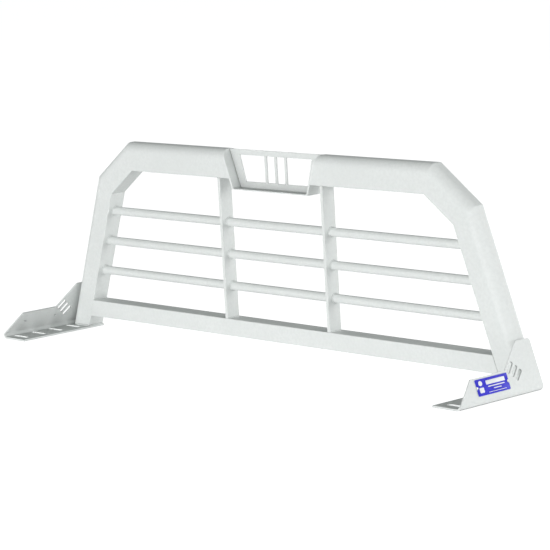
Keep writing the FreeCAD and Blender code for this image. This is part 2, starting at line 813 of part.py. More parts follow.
def right_foot_bracket():
    """Plate bent into a flange and a leaning side plate that rises to a tab beside the post."""
    body = new_body("right_foot_bracket")
    plate = size("foot_plate")
    face = size("foot_half")
    cosine = math.cos(LEAN)
    sine = math.sin(LEAN)
    cos_text = "cos(Sizes.post_lean * 1 deg)"
    sin_text = "sin(Sizes.post_lean * 1 deg)"
    rise = size("tab_height") * cosine
    rise_text = f"Sizes.tab_height * {cos_text}"
    reach = face - size("tab_height") * sine
    reach_text = f"Sizes.foot_half - Sizes.tab_height * {sin_text}"
    # the inside of the bend lies one plate thickness from both outer faces
    inside = face - plate * (1 + sine) / cosine
    inside_text = f"Sizes.foot_half - Sizes.foot_plate * (1 + {sin_text}) / {cos_text}"
    section = new_sketch(body, "section", "XZ_Plane")
    flange = size("flange_half")
    corners = [
        (flange, 0.0, "Sizes.flange_half", "0"),
        (face, 0.0, "Sizes.foot_half", "0"),
        (reach, rise, reach_text, rise_text),
        (reach - plate * cosine, rise - plate * sine,
         f"{reach_text} - Sizes.foot_plate * {cos_text}",
         f"{rise_text} - Sizes.foot_plate * {sin_text}"),
        (inside, plate, inside_text, "Sizes.foot_plate"),
        (flange, plate, "Sizes.flange_half", "Sizes.foot_plate"),
    ]
    pinned_outline(section, corners)
    depth = size("tube_depth")
    front = size("foot_front")
    bar = pad(body, section, "plates", "Sizes.foot_front + Sizes.tube_depth", reverse=True)
    section.AttachmentOffset = Placement(Vector(0, 0, front), Rotation())
    bind(section, "AttachmentOffset.Base.z", "Sizes.foot_front")
    doc.recompute()
    outer = fillet(
        body, bar, "outer_bend", "Sizes.foot_bend + Sizes.foot_plate",
        lambda p: near(p.x, face) and near(p.z, 0),
    )
    fillet(
        body, outer, "inner_bend", "Sizes.foot_bend",
        lambda p: near(p.x, inside) and near(p.z, plate),
    )

    # the side plate's outline, drawn on its outer face: x along the truck, y up the plate
    outline = plate_sketch(body, "outline")
    toe = size("toe_height")
    toe_end = front - size("toe_length")
    low = size("low_edge")
    start = size("tab_start")
    peak = size("tab_front")
    top = size("tab_height")
    over = top + ROOM
    over_text = f"Sizes.tab_height + {ROOM}"
    away_text = f"Sizes.foot_front + {ROOM}"
    corners = [
        (-front - ROOM, toe, away_text, "Sizes.toe_height"),
        (-front, toe, "Sizes.foot_front", "Sizes.toe_height"),
        (-toe_end, low, "Sizes.foot_front - Sizes.toe_length", "Sizes.low_edge"),
        (-start, low, "Sizes.tab_start", "Sizes.low_edge"),
        (peak, top, "Sizes.tab_front", "Sizes.tab_height"),
        (peak, over, "Sizes.tab_front", over_text),
        (-front - ROOM, over, away_text, over_text),
    ]
    pinned_outline(outline, corners)
    trimmed = pocket(body, outline, "side_outline", "4 * Sizes.foot_plate")

    def tab_corner(p):
        up = (face - p.x) * sine + p.z * cosine
        return near(up, top) and (near(p.y, peak) or near(p.y, depth))

    across = Vector(cosine, 0, sine)
    names = []
    for number, edge in enumerate(trimmed.Shape.Edges, start=1):
        ends = [v.Point for v in edge.Vertexes]
        if len(ends) == 2 and all(tab_corner(p) for p in ends):
            if near(abs((ends[1] - ends[0]).normalize().dot(across)), 1):
                names.append(f"Edge{number}")
    tab = body.newObject("PartDesign::Fillet", "right_foot_bracket_tab_round")
    tab.Base = (trimmed, names)
    bind(tab, "Radius", "Sizes.tab_round")
    doc.recompute()

    # three slanted openings that run along with the tab's rising edge
    slant = Rotation(Vector(0, 0, 1), 45)
    offset = Placement(
        Vector(-size("hole_middle"), size("hole_height") * cosine,
               face - size("hole_height") * sine),
        PLATE_TURN.multiply(slant),
    )
    openings = new_sketch(body, "openings", "YZ_Plane", offset)
    bind(openings, "AttachmentOffset.Base.x", "(-1) * Sizes.hole_middle")
    bind(openings, "AttachmentOffset.Base.y", f"Sizes.hole_height * {cos_text}")
    bind(openings, "AttachmentOffset.Base.z", f"Sizes.foot_half - Sizes.hole_height * {sin_text}")
    slot_outline(openings, "hole", "Sizes.hole_length", "Sizes.hole_width")
    cut = pocket(body, openings, "opening", "4 * Sizes.foot_plate")
    pattern(body, "openings", cut, openings, "V_Axis", "2 * Sizes.hole_pitch", 3)

    # nameplate rivet holes
    rivets = plate_sketch(body, "rivet_holes")
    for name, sign in (("front", -1), ("rear", 1)):
        along = -size("name_middle") + sign * size("rivet_spacing") / 2
        text = f"Sizes.name_middle - ({sign}) * Sizes.rivet_spacing / 2"
        circle(
            rivets, (along, size("name_level")), size("rivet_shank") / 2 + size("rivet_clearance"),
            text, "Sizes.name_level", "Sizes.rivet_shank / 2 + Sizes.rivet_clearance", name,
        )
    pocket(body, rivets, "rivet_bores", "4 * Sizes.foot_plate")

    # slots across the flange for the bed clamps
    middle = Placement(Vector(size("slot_middle"), -size("slot_first"), 0), Rotation())
    slots = new_sketch(body, "slots", "XY_Plane", middle)
    bind(slots, "AttachmentOffset.Base.x", "Sizes.slot_middle")
    bind(slots, "AttachmentOffset.Base.y", "(-1) * Sizes.slot_first")
    slot_outline(slots, "slot", "Sizes.slot_length", "Sizes.slot_width")
    cut = pocket(body, slots, "slot", "3 * Sizes.foot_plate")
    pattern(body, "slots_row", cut, slots, "V_Axis", "3 * Sizes.slot_pitch", 4)
    return body


keep_pair(stand(right_foot_bracket()), "left_foot_bracket")


# ---------------------------------------------------------------- nameplates and rivets


def on_side_plate():
    """Frame on the outer face of the right foot: x along the truck, y up the plate, z outward."""
    upward = Vector(-math.sin(LEAN), 0, math.cos(LEAN))
    outward = Vector(math.cos(LEAN), 0, math.sin(LEAN))
    turn = Rotation(Vector(0, 1, 0), upward, outward, "XYZ")
    return Placement(Vector(size("foot_half"), FRONT, 0), turn)


def rivet_circles(sketch, radius, radius_text):
    for name, sign in (("front", -1), ("rear", 1)):
        along = -size("name_middle") + sign * size("rivet_spacing") / 2
        text = f"Sizes.name_middle - ({sign}) * Sizes.rivet_spacing / 2"
        circle(sketch, (along, size("name_level")), radius, text, "Sizes.name_level", radius_text, name)


def right_nameplate():
    """Thin plate with rounded corners and two rivet holes."""
    body = new_body("right_nameplate")
    outline = new_sketch(body, "outline", "XY_Plane")
    left = -size("name_middle") - size("name_length") / 2
    right = -size("name_middle") + size("name_length") / 2
    low = size("name_level") - size("name_height") / 2
    high = size("name_level") + size("name_height") / 2
    left_text = "Sizes.name_middle + Sizes.name_length / 2"
    right_text = "Sizes.name_middle - Sizes.name_length / 2"
    low_text = "Sizes.name_level - Sizes.name_height / 2"
    high_text = "Sizes.name_level + Sizes.name_height / 2"
    corners = [
        (left, low, left_text, low_text),
        (right, low, right_text, low_text),
        (right, high, right_text, high_text),
        (left, high, left_text, high_text),
    ]
    pinned_outline(outline, corners)
    plate = pad(body, outline, "plate", "Sizes.name_thick")
    names = []
    for number, edge in enumerate(plate.Shape.Edges, start=1):
        ends = [v.Point for v in edge.Vertexes]
        if not near(ends[0].z, ends[1].z):
            names.append(f"Edge{number}")
    rounded = body.newObject("PartDesign::Fillet", "right_nameplate_corners")
    rounded.Base = (plate, names)
    bind(rounded, "Radius", "Sizes.name_round")
    doc.recompute()
    holes = new_sketch(body, "rivet_holes", "XY_Plane")
    radius = size("rivet_shank") / 2 + size("rivet_clearance")
    rivet_circles(holes, radius, "Sizes.rivet_shank / 2 + Sizes.rivet_clearance")
    pocket(body, holes, "rivet_bores", "4 * Sizes.foot_plate")
    body.Placement = on_side_plate()
    return body


keep_pair(right_nameplate(), "left_nameplate")


def rivet_disc(body, name, radius, radius_text, level, level_text, length, reverse):
    """Disc of each rivet that starts at a level above the side plate's outer face."""
    offset = Placement(Vector(0, 0, level), Rotation())
    sketch = new_sketch(body, name, "XY_Plane", offset)
    bind(sketch, "AttachmentOffset.Base.z", level_text)
    rivet_circles(sketch, radius, radius_text)
    return pad(body, sketch, f"{name}_pad", length, reverse=reverse)


def dome(body, base, name, radius, level):
    """Round the rim of the discs that end at a level."""
    names = []
    for number, edge in enumerate(base.Shape.Edges, start=1):
        if near(edge.BoundBox.ZMin, level) and near(edge.BoundBox.ZMax, level):
            names.append(f"Edge{number}")
    feature = body.newObject("PartDesign::Fillet", f"{body.Name}_{name}")
    feature.Base = (base, names)
    bind(feature, "Radius", radius)
    doc.recompute()
    return feature


def right_nameplate_rivets():
    """Two blind rivets: domed head outside, shank through both plates, bulbed tail inside."""
    body = new_body("right_nameplate_rivets")
    body.AllowCompound = True
    shank = size("rivet_shank") / 2
    shank_text = "Sizes.rivet_shank / 2"
    head = size("rivet_head") / 2
    thin = size("name_thick")
    plate = size("foot_plate")
    rivet_disc(
        body, "shank", shank, shank_text, -plate, "(-1) * Sizes.foot_plate",
        "Sizes.foot_plate + Sizes.name_thick", False,
    )
    heads = rivet_disc(
        body, "head", head, "Sizes.rivet_head / 2", thin, "Sizes.name_thick",
        "Sizes.rivet_rise", False,
    )
    dome(body, heads, "head_dome", "0.85 * Sizes.rivet_rise", thin + size("rivet_rise"))
    tails = rivet_disc(
        body, "tail", 1.45 * shank, "1.45 * Sizes.rivet_shank / 2", -plate,
        "(-1) * Sizes.foot_plate", "Sizes.rivet_tail", True,
    )
    dome(body, tails, "tail_dome", "0.45 * Sizes.rivet_tail", -plate - size("rivet_tail"))
    body.Placement = on_side_plate()
    return body


keep_pair(right_nameplate_rivets(), "left_nameplate_rivets")


# ---------------------------------------------------------------- welds

ACROSS = Vector(1, 0, 0)
BACK = Vector(0, 1, 0)
UP = Vector(0, 0, 1)
POST_UP = Vector(-math.sin(LEAN), 0, math.cos(LEAN))
POST_OUT = Vector(math.cos(LEAN), 0, math.sin(LEAN))
BEAD = size("bead")
FOOT_BEAD = size("foot_bead")
ROD = size("rod_diameter") / 2
DEPTH = size("tube_depth")


def fillet_bead(corner, first, second, run, leg, second_leg=None):
    """Weld bead in a corner: legs along first and second, slightly crowned, swept along run."""
    other = leg if second_leg is None else second_leg
    start = corner + first * leg
    end = corner + second * other
    middle = (start + end) * 0.5
    crown = (middle - corner).normalize() * (0.12 * leg)
    face = Part.Face(
        Part.Wire([
            Part.makeLine(corner, start),
            Part.Arc(start, middle + crown, end).toShape(),
            Part.makeLine(end, corner),
        ])
    )
    return face.extrude(run)


def ring_bead(centre, normal, reach, leg):
    """Bead around a rod where it meets a flat face.

    centre lies on the rod's axis in the face, normal is the face's normal on the rod's side, and
    reach is the rod's direction away from the face.
    """
    lean = abs(normal.dot(reach))
    long_way = reach - normal * reach.dot(normal)
    if long_way.Length < 1e-9:
        long_way = Vector(0, 0, 1)
    long_way.normalize()
    short_way = normal.cross(long_way)

    def ring(shift, radius):
        middle = centre + reach * shift
        if near(lean, 1):
            return Part.Wire(Part.makeCircle(radius, middle, normal))
        curve = Part.Ellipse(
            middle + long_way * (radius / lean), middle + short_way * radius, middle
        )
        return Part.Wire(curve.toShape())

    cone = Part.makeLoft([ring(0, ROD + leg), ring(leg, ROD + 0.25 * leg)], True, True)
    core = Part.makeCylinder(ROD, 6 * leg, centre - reach * (3 * leg), reach)
    return cone.cut(core)


def weld_group(label, solids):
    """All beads of one kind as one node."""
    group = doc.addObject("Part::Feature", label)
    group.Label = label
    group.Shape = Part.Compound(solids)
    keep(stand(group))


def flip(shape):
    """The same shape on the other side of the truck."""
    return shape.mirror(Vector(0, 0, 0), Vector(1, 0, 0))


def rod_end_beads():
    beads = []
    for number in (1, 2, 3):
        level = rod_level(number)
        centre = Vector(inner_half(level), DEPTH / 2, level)
        beads.append(ring_bead(centre, POST_OUT * -1, Vector(-1, 0, 0), BEAD))
    return beads


def rod_bar_beads():
    beads = []
    half = size("bar_thickness") / 2
    for number in (1, 2, 3):
        for side in (-1, 1):
            place = Vector(size("bar_position") + side * half, DEPTH / 2, rod_level(number))
            away = Vector(side, 0, 0)
            beads.append(ring_bead(place, away, away, BEAD))
    return beads


def bar_end_beads():
    """Beads along both sides of a bar where it meets the bottom rail and the top rail."""
    beads = []
    half = size("bar_thickness") / 2
    run = BACK * size("bar_depth")
    for side in (-1, 1):
        place = size("bar_position") + side * half
        away = ACROSS * side
        low = Vector(place, 0, size("rail_top"))
        high = Vector(place, 0, size("top_height"))
        beads.append(fillet_bead(low, away, UP, run, BEAD))
        beads.append(fillet_bead(high, away, UP * -1, run, BEAD))
    return beads


def rail_end_beads():
    """Beads above and below the bottom rail where it meets a post."""
    top = Vector(inner_half(size("rail_top")), 0, size("rail_top"))
    under = Vector(inner_half(size("rail_bottom")), 0, size("rail_bottom"))
    inward = ACROSS * -1
    inset = size("inner_radius")
    shift = BACK * inset
    run = BACK * (DEPTH - 2 * inset)
    return [
        fillet_bead(top + shift, inward, POST_UP, run, BEAD),
        fillet_bead(under + shift, inward, POST_UP * -1, run, BEAD),
    ]


def window_beads():
    """Beads outside the end plate under the rail, on the floor plate and behind the back plate."""
    slip = size("end_plate") / math.cos(LEAN)
    level = size("top_height")
    plate_up = Vector(math.sin(LEAN), 0, math.cos(LEAN))
    under = Vector(window_inner(level) + slip, 0, level)
    floor = Vector(window_inner(FLOOR_TOP), 0, FLOOR_TOP)
    run = BACK * size("back_setback")
    leg = size("back_bead")
    start = size("window_bottom") + leg
    behind = Vector(window_inner(start), size("back_setback") + size("sheet_plate"), start)
    rise = plate_up * ((FRAME_TOP - leg - start) / math.cos(LEAN))
    return [
        fillet_bead(under, ACROSS, plate_up * -1, BACK * DEPTH, BEAD),
        fillet_bead(floor, ACROSS * -1, plate_up, run, BEAD),
        fillet_bead(behind, BACK, ACROSS * -1, rise, leg, leg + size("back_gap")),
    ]


def tab_seam():
    """Weld that fills the slit between the post's flat outer face and the foot's side plate."""
    post_face = inner_half(0) * math.cos(LEAN) + size("tube_width")
    plate_face = size("foot_half") * math.cos(LEAN) - size("foot_plate")
    outer = Vector(size("foot_half"), 0, 0) - POST_OUT * size("foot_plate")
    low = outer + BACK * size("front_radius") + POST_UP * size("seam_start")
    width = DEPTH - size("front_radius") - size("rear_radius")
    run = POST_UP * (size("tab_height") - size("seam_start") - 1.0)
    first = low + BACK * width
    slit = POST_OUT * (post_face - plate_face)
    outline = [low, first, first + slit, low + slit, low]
    return Part.Face(Part.makePolygon(outline)).extrude(run)


def foot_beads():
    """Beads around the base of a post, and the seam behind the tab."""
    plate = size("foot_plate")
    base = Vector(inner_half(plate), 0, plate)
    round_start = size("inner_radius")
    inside = fillet_bead(
        base + BACK * round_start, ACROSS * -1, POST_UP, BACK * (DEPTH - 2 * round_start), FOOT_BEAD
    )
    flat = (size("tube_width") - size("front_radius")) / math.cos(LEAN)
    front = fillet_bead(
        base + ACROSS * 3.0, BACK * -1, UP, ACROSS * (flat - 3.0), FOOT_BEAD
    )
    return [inside, front, tab_seam()]


weld_group("rod_end_welds", rod_end_beads() + [flip(b) for b in rod_end_beads()])
weld_group("rod_bar_welds", rod_bar_beads() + [flip(b) for b in rod_bar_beads()])
weld_group("upright_bar_end_welds", bar_end_beads() + [flip(b) for b in bar_end_beads()])
weld_group("bottom_rail_end_welds", rail_end_beads() + [flip(b) for b in rail_end_beads()])
weld_group("window_welds", window_beads() + [flip(b) for b in window_beads()])
weld_group("right_foot_welds", foot_beads())
weld_group("left_foot_welds", [flip(b) for b in foot_beads()])


# ---------------------------------------------------------------- checks and files

doc.recompute()
for obj in doc.Objects:
    if "Invalid" in obj.State or "Error" in obj.State:
        raise RuntimeError(f"{obj.Label}: {obj.State}")
for obj in parts:
    if obj.Shape.isNull() or not obj.Shape.isValid():
        raise RuntimeError(f"{obj.Label}: bad shape")
for obj in parts:
    obj.Shape.exportStep(f"parts/{obj.Label}.step")
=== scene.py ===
import math

import bpy
from mathutils import Matrix, Vector


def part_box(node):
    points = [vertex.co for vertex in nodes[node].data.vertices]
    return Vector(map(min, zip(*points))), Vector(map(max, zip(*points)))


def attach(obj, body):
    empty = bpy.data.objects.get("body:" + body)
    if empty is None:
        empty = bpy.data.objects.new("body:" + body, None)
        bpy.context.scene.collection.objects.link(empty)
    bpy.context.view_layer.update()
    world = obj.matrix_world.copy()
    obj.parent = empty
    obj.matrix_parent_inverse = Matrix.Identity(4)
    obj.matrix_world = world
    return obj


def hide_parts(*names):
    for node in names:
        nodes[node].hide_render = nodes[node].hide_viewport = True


# White powder-coated headache rack. Metres; X across the truck, Y from the bed to the cab, Z up.

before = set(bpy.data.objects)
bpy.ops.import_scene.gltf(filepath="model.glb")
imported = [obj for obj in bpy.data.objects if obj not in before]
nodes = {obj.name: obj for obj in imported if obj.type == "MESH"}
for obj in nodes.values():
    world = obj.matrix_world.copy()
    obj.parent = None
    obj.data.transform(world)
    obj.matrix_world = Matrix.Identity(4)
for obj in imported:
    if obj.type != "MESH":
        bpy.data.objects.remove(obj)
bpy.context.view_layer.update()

LEAN = math.radians(20.0)
POST_UP = Vector((-math.sin(LEAN), 0, math.cos(LEAN)))
POST_OUT = Vector((math.cos(LEAN), 0, math.sin(LEAN)))
X = Vector((1, 0, 0))
Y = Vector((0, 1, 0))
Z = Vector((0, 0, 1))


# ------------------------------------------------------------------ materials

OCCLUSION_SAMPLES = 8
NEARLY_LEVEL = (0.90, 0.99)  # height of a unit normal at which a face starts to count as level, and does
# painted shade: the grey the coats turn to in crevices, recesses and on level faces, and how far a crevice's
# painted shade reaches
PAINTED_SHADE_GREY = (0.30, 0.32, 0.31)
CREVICE_SHADE_REACH = 0.0060

# noise scales of the powder coat, from a slow drift of tone down to the grain of the powder
DRIFT_SCALE = 6.0
GLOSS_SCALE = 45.0
MOTTLE_SCALE = 120.0
PEEL_SCALE = 520.0
GRAIN_SCALE = 2600.0


class Nodes:
    """Short way to write a node material."""

    def __init__(self, name):
        self.material = bpy.data.materials.new(name)
        self.material.use_nodes = True
        self.tree = self.material.node_tree
        self.shader = self.tree.nodes["Principled BSDF"]
        place = self.tree.nodes.new("ShaderNodeTexCoord")
        self.place = place.outputs["Object"]

    def new(self, kind, **values):
        node = self.tree.nodes.new(kind)
        for key, value in values.items():
            setattr(node, key, value)
        return node

    def link(self, source, target):
        self.tree.links.new(source, target)

    def noise(self, scale, detail=4.0, roughness=0.5):
        node = self.new("ShaderNodeTexNoise")
        node.inputs["Scale"].default_value = scale
        node.inputs["Detail"].default_value = detail
        node.inputs["Roughness"].default_value = roughness
        self.link(self.place, node.inputs["Vector"])
        return node.outputs["Fac"]

    def span(self, source, low, high, start=0.3, end=0.7):
        """Maps start to end of a source onto low to high, clamped."""
        node = self.new("ShaderNodeMapRange")
        node.inputs["From Min"].default_value = start
        node.inputs["From Max"].default_value = end
        node.inputs["To Min"].default_value = low
        node.inputs["To Max"].default_value = high
        self.link(source, node.inputs["Value"])
        return node.outputs["Result"]

    def blend(self, factor, first, second):
        """Mix of two colours, each a tuple or another node's output."""
        node = self.new("ShaderNodeMix", data_type="RGBA")
        for socket, colour in ((node.inputs[6], first), (node.inputs[7], second)):
            if isinstance(colour, tuple):
                socket.default_value = (*colour, 1.0)
            else:
                self.link(colour, socket)
        self.link(factor, node.inputs[0])
        return node.outputs[2]

    def hollows(self, reach, only_local=False):
        """0 deep in a crevice, 1 on an open surface; only_local looks at the piece by itself."""
        node = self.new("ShaderNodeAmbientOcclusion", samples=OCCLUSION_SAMPLES, only_local=only_local)
        node.inputs["Distance"].default_value = reach
        return node.outputs["AO"]

    def facing_up(self, share):
        """share on a level face that looks up, 0 on a leaning or upright one."""
        split = self.new("ShaderNodeSeparateXYZ")
        self.link(self.new("ShaderNodeNewGeometry").outputs["True Normal"], split.inputs[0])
        return self.span(split.outputs["Z"], 0.0, share, *NEARLY_LEVEL)

    def bump(self, height, strength, distance, before=None):
        node = self.new("ShaderNodeBump")
        node.inputs["Strength"].default_value = strength
        node.inputs["Distance"].default_value = distance
        self.link(height, node.inputs["Height"])
        if before is not None:
            self.link(before, node.inputs["Normal"])
        return node.outputs["Normal"]


def powder_coat(
    name, light, dark, peel, reach=0.030, recess_shade=0.74, start=0.10, end=0.72, only_local=False, level_shade=0.0
):
    """White powder coat: orange peel, a faint mottle and drift of tone, and painted shade in its hollows.

    reach, recess_shade, start and end give how wide and how strong the painted shade in a recess is, and
    level_shade is the share of painted shade on a level face that looks up; every coat also has painted shade
    in its crevices.
    """
    made = Nodes(name)
    shader = made.shader
    drift = made.span(made.noise(DRIFT_SCALE, 3.0), 0.0, 1.0, 0.35, 0.65)
    mottle = made.span(made.noise(MOTTLE_SCALE, 3.0, 0.6), 0.0, 1.0, 0.36, 0.64)
    tone = made.blend(drift, dark, light)
    shade = tuple(0.965 * channel for channel in dark)
    coat = made.blend(made.span(mottle, 0.25, 1.0, 0.0, 1.0), shade, tone)
    # painted shade: the coat turns grey in recesses, on level faces that look up and in crevices, where shade
    # falls
    recess = made.span(made.hollows(reach, only_local), 0.0, 1.0, start, end)
    coat = made.blend(recess, tuple(recess_shade * channel for channel in dark), coat)
    if level_shade:
        coat = made.blend(made.facing_up(level_shade), coat, PAINTED_SHADE_GREY)
    crevice = made.span(made.hollows(CREVICE_SHADE_REACH), 0.0, 1.0, 0.22, 0.66)
    made.link(made.blend(crevice, PAINTED_SHADE_GREY, coat), shader.inputs["Base Color"])
    made.link(made.span(made.noise(GLOSS_SCALE, 5.0), 0.42, 0.56), shader.inputs["Roughness"])
    skin = made.bump(made.noise(PEEL_SCALE, 2.0), peel, 0.0004)
    made.link(made.bump(made.noise(GRAIN_SCALE, 2.0), 0.10, 0.0001, skin), shader.inputs["Normal"])
    shader.inputs["Specular IOR Level"].default_value = 0.35
    return made.material


def rivet_metal():
    """Bare aluminium with fine scuffs."""
    made = Nodes("rivet_metal")
    shader = made.shader
    tone = made.span(made.noise(scale=900.0), low=0.0, high=1.0)
    made.link(made.blend(tone, (0.46, 0.47, 0.48), (0.66, 0.67, 0.68)), shader.inputs["Base Color"])
    scuffs = made.span(made.noise(scale=1800.0, detail=3.0), low=0.28, high=0.46)
    made.link(scuffs, shader.inputs["Roughness"])
    grain = made.noise(scale=2400.0, detail=3.0)
    made.link(made.bump(grain, strength=0.2, distance=0.0001), shader.inputs["Normal"])
    shader.inputs["Metallic"].default_value = 1.0
    return made.material


def enamel(name, first, second, roughness):
    """Printed enamel on the nameplate."""
    made = Nodes(name)
    shader = made.shader
    tone = made.span(made.noise(scale=60.0), low=0.0, high=1.0)
    made.link(made.blend(tone, first, second), shader.inputs["Base Color"])
    wear = made.span(made.noise(scale=160.0), low=roughness, high=roughness + 0.1)
    made.link(wear, shader.inputs["Roughness"])
    grain = made.noise(scale=700.0, detail=2.0)
    made.link(made.bump(grain, strength=0.08, distance=0.0001), shader.inputs["Normal"])
    shader.inputs["Specular IOR Level"].default_value = 0.22
    return made.material


COAT_LIGHT = (0.815, 0.838, 0.828)
COAT_DARK = (0.785, 0.808, 0.798)
PEEL = 0.16
BEAD_PEEL = 0.30
# painted shade in recesses and crevices comes with every coat below
COAT = powder_coat("white_powder_coat", COAT_LIGHT, COAT_DARK, PEEL)
# painted shade on the level faces of the bottom rail and rods that look up
SILL_SHADED_COAT = powder_coat("white_powder_coat_with_painted_level_shade", COAT_LIGHT, COAT_DARK, PEEL, level_shade=0.32)
BEAD_COAT = powder_coat(
    "white_powder_coat_on_welds", (0.79, 0.815, 0.805), (0.74, 0.765, 0.755), BEAD_PEEL
)
# painted shade: a darker copy of the coat for the window's floor and back plate, with wide, deep shade
# painted into the recess and onto level faces
WINDOW_SHADED_COAT = powder_coat(
    "white_powder_coat_with_painted_window_shade", (0.80, 0.823, 0.813), (0.77, 0.793, 0.783), PEEL,
    reach=0.060, recess_shade=0.46, end=0.90, level_shade=0.30,
)
# painted light: a lighter copy of the coat for the window's end plates, with almost no painted shade in their
# recesses
END_LIGHTENED_COAT = powder_coat(
    "white_powder_coat_with_painted_light_on_window_ends", (0.85, 0.873, 0.863), (0.82, 0.843, 0.833), PEEL, recess_shade=0.98
)
# painted shade: the feet turn grey in their own corners and hollows out to a wide reach, and on level faces
# that look up
FOOT_SHADED_COAT = powder_coat(
    "white_powder_coat_with_painted_foot_shade", COAT_LIGHT, COAT_DARK, PEEL,
    reach=0.100, recess_shade=0.64, start=0.30, end=1.0, only_local=True, level_shade=0.42,
)
METAL = rivet_metal()
RIM = enamel("nameplate_rim", (0.62, 0.64, 0.66), (0.74, 0.76, 0.78), 0.40)
WHITE = enamel("nameplate_white", (0.84, 0.85, 0.87), (0.90, 0.91, 0.92), 0.42)
BLUE = enamel("nameplate_blue", (0.032, 0.030, 0.56), (0.050, 0.046, 0.68), 0.46)


def paint(obj, material):
    obj.data.materials.clear()
    obj.data.materials.append(material)


for name, obj in nodes.items():
    if "rivets" in name:
        paint(obj, METAL)
    elif "nameplate" in name:
        paint(obj, RIM)
    elif name in ("window_floor_plate", "window_back_plate"):
        paint(obj, WINDOW_SHADED_COAT)
    elif "window_end_plate" in name:
        paint(obj, END_LIGHTENED_COAT)
    elif "foot_bracket" in name:
        paint(obj, FOOT_SHADED_COAT)
    elif name == "bottom_rail" or "_rod" in name:
        paint(obj, SILL_SHADED_COAT)
    else:
        paint(obj, COAT)


def soften(obj, width):
    """Small round on the sharp edges of a cut plate."""
    bevel = obj.modifiers.new("edge_round", "BEVEL")
    bevel.width = width
    bevel.segments = 2
    bevel.limit_method = "ANGLE"
    bevel.angle_limit = math.radians(40)
    bevel.harden_normals = True
    bevel.use_clamp_overlap = True


BAR_EDGE = 0.0008
PLATE_EDGE = 0.0007
SHEET_EDGE = 0.0005
for side in ("left", "right"):
    soften(nodes[f"{side}_upright_bar"], BAR_EDGE)
    soften(nodes[f"{side}_window_end_plate"], PLATE_EDGE)
    soften(nodes[f"{side}_foot_bracket"], PLATE_EDGE)
soften(nodes["window_floor_plate"], SHEET_EDGE)
soften(nodes["window_back_plate"], SHEET_EDGE)


# ------------------------------------------------------------------ mesh helpers


def mesh_object(name, points, faces, material):
    """Smooth-shaded piece on the rack's one body."""
    mesh = bpy.data.meshes.new(name)
    mesh.from_pydata([tuple(p) for p in points], [], faces)
    mesh.validate()
    mesh.update()
    for polygon in mesh.polygons:
        polygon.use_smooth = True
    obj = bpy.data.objects.new(name, mesh)
    bpy.context.scene.collection.objects.link(obj)
    paint(obj, material)
    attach(obj, "root")
    return obj


RIPPLE = 0.0021  # pitch of a bead's ripples
RIPPLE_SKEW = 0.6  # under 1, the front of a ripple is steeper than its tail
STEPS_PER_RIPPLE = 6
CROWN_POINTS = 7  # points over a bead's crown, from one leg to the other
SLAB_DIP = 0.0006  # how far a slab's ripples dip
VALLEY = 0.86  # leg length between two ripples, as a share of the bead's own
RIPPLE_RISE = 0.16  # what the top of a ripple adds to it
END_SIZE = 0.35  # size of an open bead's first station, which tapers up from there
END_TAPER = 0.22  # added at each station after it
FLAT_SHARE = 0.45  # a bead's crown lies between a flat face and a round one
ROUND_SHARE = 0.50


def ripple(distance):
    """Height of the ripples along a bead: a steep front and a soft tail to each one."""
    phase = (distance / RIPPLE) % 1.0
    return math.sin(math.pi * phase ** RIPPLE_SKEW)


